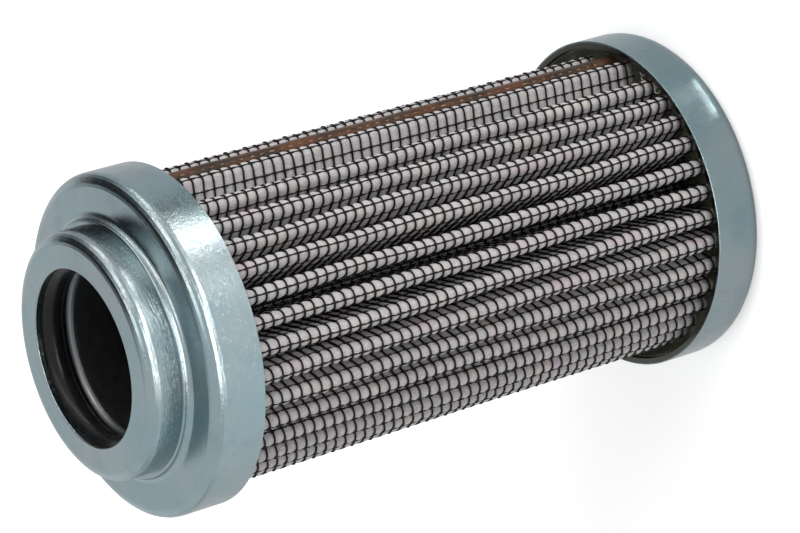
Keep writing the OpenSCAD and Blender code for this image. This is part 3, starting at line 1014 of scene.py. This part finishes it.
def seam_bead():
    """Bead along the seam: two soft ridges with a groove between, on a web between the legs."""
    under = BEAD_FOOT - BEAD_LIP
    rings = []
    for z in np.arange(PACK_BOTTOM, PACK_TOP, BEAD_STEP):
        lump = float(eased(LUMP_TOP - z, 0, LUMP_FADE))
        spread = LUMP_SPREAD * lump * (1 + math.sin(LUMP_TURN * z))
        shift = BEAD_WANDER * waved(WANDER_WAVES, z, 0)
        swells = (SWELL_WAVE, (RIPPLE_LENGTH, 0, 0, RIPPLE_SHARE + lump))
        crown = BEAD_SWELL * waved(swells, z, 0) - BEAD_SINK + LUMP_HEIGHT * lump
        ring = []
        for part in np.linspace(-1, 1, BEAD_POINTS):
            full = 1 - part * part
            y = ((BEAD_NEAR if part < 0 else BEAD_FAR) + spread) * part + shift * full
            groove = (BEAD_GROOVE * (1 - lump)
                      * math.exp(-((part - GROOVE_PLACE) / GROOVE_WIDTH) ** 2))
            ring.append((BEAD_FOOT + bead_rise(part) - groove + crown * full, y, z))
        ring += [(under, WEB_HALF, z), (WEB_FOOT, WEB_HALF, z),
                 (WEB_FOOT, -WEB_HALF, z), (under, -WEB_HALF, z)]
        rings.append(np.array(ring))
    mesh = swept_mesh("seam_bead", rings, False, AMBER)
    piece("seam_bead", mesh, "amber_adhesive", "side_seam_adhesive")


def edge_ring(name, radius, height, size):
    """A cut edge of a cap's sheet, rounded over by the punch."""
    section = [(radius + size * math.cos(around_edge), height + size * math.sin(around_edge))
               for around_edge in np.radians(np.arange(0, 360, EDGE_STEP))]
    rings = [ring_round(turn, section) for turn in np.radians(np.arange(0, 360, RING_STEP))]
    piece(name, swept_mesh(name, rings, True, ZINC), "zinc_steel")


def cut_ends_tree():
    """Lays a small flat chip on every point, each a little turned and longer or shorter."""
    tree, given = start_tree("cut_end_glints", ["Length", "Width", "Unevenness"], "Seed")
    size = combined(tree, given["Width"], given["Width"], given["Length"])
    chip = add(tree, "GeometryNodeMeshCube", {"Size": size})
    least = reckoned(tree, "SUBTRACT", 1.0, given["Unevenness"])
    scale = add(tree, "FunctionNodeRandomValue", {
        "Min": least, "Max": 1.0, "Seed": given["Seed"]}, data_type="FLOAT")
    lean = add(tree, "FunctionNodeRandomValue", {
        "Min": [-turn for turn in CUT_END_TURN], "Max": CUT_END_TURN,
        "Seed": given["Seed"]}, data_type="FLOAT_VECTOR")
    laid = add(tree, "GeometryNodeInstanceOnPoints", {
        "Points": given["Geometry"], "Instance": chip.outputs["Mesh"],
        "Rotation": lean.outputs[0], "Scale": combined(tree, 1.0, 1.0, scale.outputs[1])})
    end_tree(tree, laid.outputs["Instances"], given["Material"])
    return tree


def cut_end_glints():
    """Ends of the cloth's wires in the bead's groove, as chips whose light colour is a painted
    glint of the glue round them.
    """
    low, high = CUT_END_MARGINS
    x = BEAD_FOOT + bead_rise(GROOVE_PLACE) - BEAD_GROOVE + CUT_END_PROUD
    places = [(x, GROOVE_PLACE * BEAD_NEAR + CUT_END_STRAY * math.sin(z / STRAY_LENGTH), z)
              for z in np.arange(FIRST_CROSS + low, PACK_TOP - high, CROSS_PITCH)]
    start = line_mesh("cut_end_places", places, joined=False)
    mesh = grown_mesh("cut_end_glints", start, cut_ends_tree(), {
        "Length": CUT_END_LENGTH * MM, "Width": CUT_END_WIDTH * MM,
        "Unevenness": CUT_END_UNEVENNESS, "Seed": CUT_END_SEED, "Material": CUT_END_GLINTS})
    piece("cut_end_glints", mesh, "coated_wire")


def strand_line(start_angle, curls):
    """Path of one curly thread over the film."""
    line = []
    for step in range(STRAND_STEPS + 1):
        t = step / STRAND_STEPS
        curl = curls * t * math.pi
        sunk, sag = STRAND_DEPTH
        x, y = polar(SKIRT_FILM - sunk - sag * math.sin(math.pi * t),
                     start_angle + STRAND_REACH * t + STRAND_CURL * math.sin(curl))
        z = GLUE_CREEP + STRAND_START + STRAND_RISE * t + STRAND_WAVE * math.sin(curl + 1)
        line.append((x, y, z))
    return line


def glue_strands():
    """Two curly threads of glue on the film inside the closed end's skirt."""
    for number, (start_angle, curls) in enumerate(STRANDS, 1):
        name = f"glue_strand_{number}"
        curve = bpy.data.curves.new(name, "CURVE")
        curve.dimensions, curve.bevel_depth, curve.bevel_resolution = "3D", STRAND_RADIUS * MM, 1
        curve.use_fill_caps = True
        line = strand_line(start_angle, curls)
        spline = curve.splines.new("POLY")
        spline.points.add(len(line) - 1)
        for point, place in zip(spline.points, line):
            point.co = (*(v * MM for v in place), 1)
        mesh = plain_mesh(name, placed("strand_start", curve))
        mesh.materials.clear()
        mesh.materials.append(STRAND)
        mesh.shade_smooth()
        piece(name, mesh, "grey_adhesive")


outer_cloth()
sheets()
closed_end_glue()
seam_bead()
for name, settings in EDGE_RINGS.items():
    edge_ring(name, *settings)
cut_end_glints()
glue_strands()


# Table, light and camera

def around(azimuth, elevation):
    """A direction from the element. Azimuth 0 is the side that looks along +Y."""
    turn, rise = math.radians(azimuth), math.radians(elevation)
    return Vector((math.sin(turn) * math.cos(rise), -math.cos(turn) * math.cos(rise),
                   math.sin(rise)))


def area_lamp(name, width, height, power):
    """A rectangular lamp that the camera doesn't see."""
    lamp = bpy.data.lights.new(name, "AREA")
    lamp.shape, lamp.size, lamp.size_y = "RECTANGLE", width, height
    lamp.energy = power
    obj = placed(name, lamp)
    obj.visible_camera = False
    return obj


def softbox(name, azimuth, elevation, distance, width, height, power):
    """A broad lamp for the cloth. The metal shows the room's screens and the strips instead."""
    obj = area_lamp(name, width, height, power)
    toward = around(azimuth, elevation)
    obj.location = Vector(VIEW_TARGET) * MM + toward * distance
    obj.rotation_euler = toward.to_track_quat("Z", "Y").to_euler()
    obj.visible_glossy = False


def strip_light(name, start, end, width, brightness):
    """A long narrow lamp between two places, which faces the open end cap."""
    start, end = Vector(start), Vector(end)
    along = (end - start).normalized()
    middle = (start + end) / 2
    back = middle - Vector((0, 0, PACK_TOP * MM))
    back = (back - back.dot(along) * along).normalized()
    length = (end - start).length
    obj = area_lamp(name, length, width, brightness * math.pi * length * width)
    obj.data.color = STRIP_COLOUR
    turn = Matrix((along, back.cross(along), back)).transposed()
    obj.matrix_world = Matrix.Translation(middle) @ turn.to_4x4()
    obj.visible_diffuse = False


def card_mask(tree, place):
    """1 on the card's part of the table and 0 elsewhere, with soft edges."""
    off = paired(tree, "DOT_PRODUCT", place, CARD_FACING, "Value")
    off = reckoned(tree, "ABSOLUTE", reckoned(tree, "SUBTRACT", off, CARD_DISTANCE))
    mask = ranged(tree, off, (CARD_HALF, CARD_CORE * CARD_HALF))
    along = coordinate(tree, place, "X")
    near, far = CARD_ENDS
    for edge in (ranged(tree, along, (near, near + CARD_HALF)),
                 ranged(tree, along, (far, far + CARD_HALF), (1, 0))):
        mask = reckoned(tree, "MULTIPLY", mask, edge)
    return mask


def table():
    """White table top that keeps the element's shadow. Metal shows it dimmer, with a black card."""
    material, tree, shader, place = finish_tree("table_top")
    path = add(tree, "ShaderNodeLightPath").outputs
    card = reckoned(tree, "MULTIPLY", path["Is Glossy Ray"], card_mask(tree, place))
    shine = ranged(tree, coordinate(tree, place, "Y"), TABLE_DEPTH, (TABLE_SHINE, 0))
    shown = blend_number(tree, card, reckoned(tree, "MULTIPLY", path["Is Glossy Ray"], shine), 0.0)
    seen = ranged(tree, path["Is Camera Ray"], (0, 1), (0, TABLE_WHITE))
    feed(tree, shader, Base_Color=blended(tree, card, TABLE_COLOUR, CARD_COLOUR), Roughness=0.9,
         Specular_IOR_Level=0.0, Emission_Color=(1, 1, 1, 1),
         Emission_Strength=reckoned(tree, "ADD", shown, seen))
    mesh = bpy.data.meshes.new("table_top")
    corners = [(-1, -1), (1, -1), (1, 1), (-1, 1)]
    mesh.from_pydata([(x * TABLE_HALF, y * TABLE_HALF, 0) for x, y in corners], [],
                     [(0, 1, 2, 3)])
    mesh.materials.append(material)
    placed("table_top", mesh)


def studio_world():
    """A pale room with dark screens, which the metal reflects."""
    world = bpy.data.worlds.new("studio")
    world.use_nodes = True
    bpy.context.scene.world = world
    tree = world.node_tree
    ground = tree.nodes["Background"]
    place = add(tree, "ShaderNodeTexCoord").outputs["Generated"]
    level = ROOM_LEVEL
    for azimuth, elevation, inner, outer, strength in SCREENS:
        facing = paired(tree, "DOT_PRODUCT", place, around(azimuth, elevation), "Value")
        glow = add(tree, "ShaderNodeMapRange", {
            "Value": facing, "From Min": math.cos(math.radians(outer)),
            "From Max": math.cos(math.radians(inner)), "To Max": strength},
            interpolation_type="SMOOTHSTEP").outputs["Result"]
        level = reckoned(tree, "ADD", glow, level)
    level = reckoned(tree, "MAXIMUM", level, SCREEN_SHADE)
    cloth = add(tree, "ShaderNodeLightPath").outputs["Is Diffuse Ray"]
    feed(tree, ground, Color=level, Strength=ranged(tree, cloth, (0, 1), (1, CLOTH_SHARE)))


def camera():
    """The photograph's camera, rolled so that the standing element lies as it does there."""
    lens = bpy.data.cameras.new("view")
    lens.lens, lens.sensor_width = LENS, SENSOR_WIDTH
    lens.clip_start, lens.clip_end = CLIP_DISTANCES
    obj = placed("view", lens)
    back = around(VIEW_AZIMUTH, VIEW_ELEVATION)
    obj.location = (Vector(VIEW_TARGET) + back * VIEW_DISTANCE) * MM
    upright = (-back).to_track_quat("-Z", "Y")
    obj.rotation_mode = "QUATERNION"
    obj.rotation_quaternion = upright @ Quaternion((0, 0, 1), -math.radians(VIEW_ROLL))
    bpy.context.scene.camera = obj


table()
studio_world()
camera()
for name, settings in SOFTBOXES.items():
    softbox(name, *settings)
for name, settings in STRIPS.items():
    strip_light(name, *settings)

bpy.context.scene.view_settings.view_transform = "Standard"
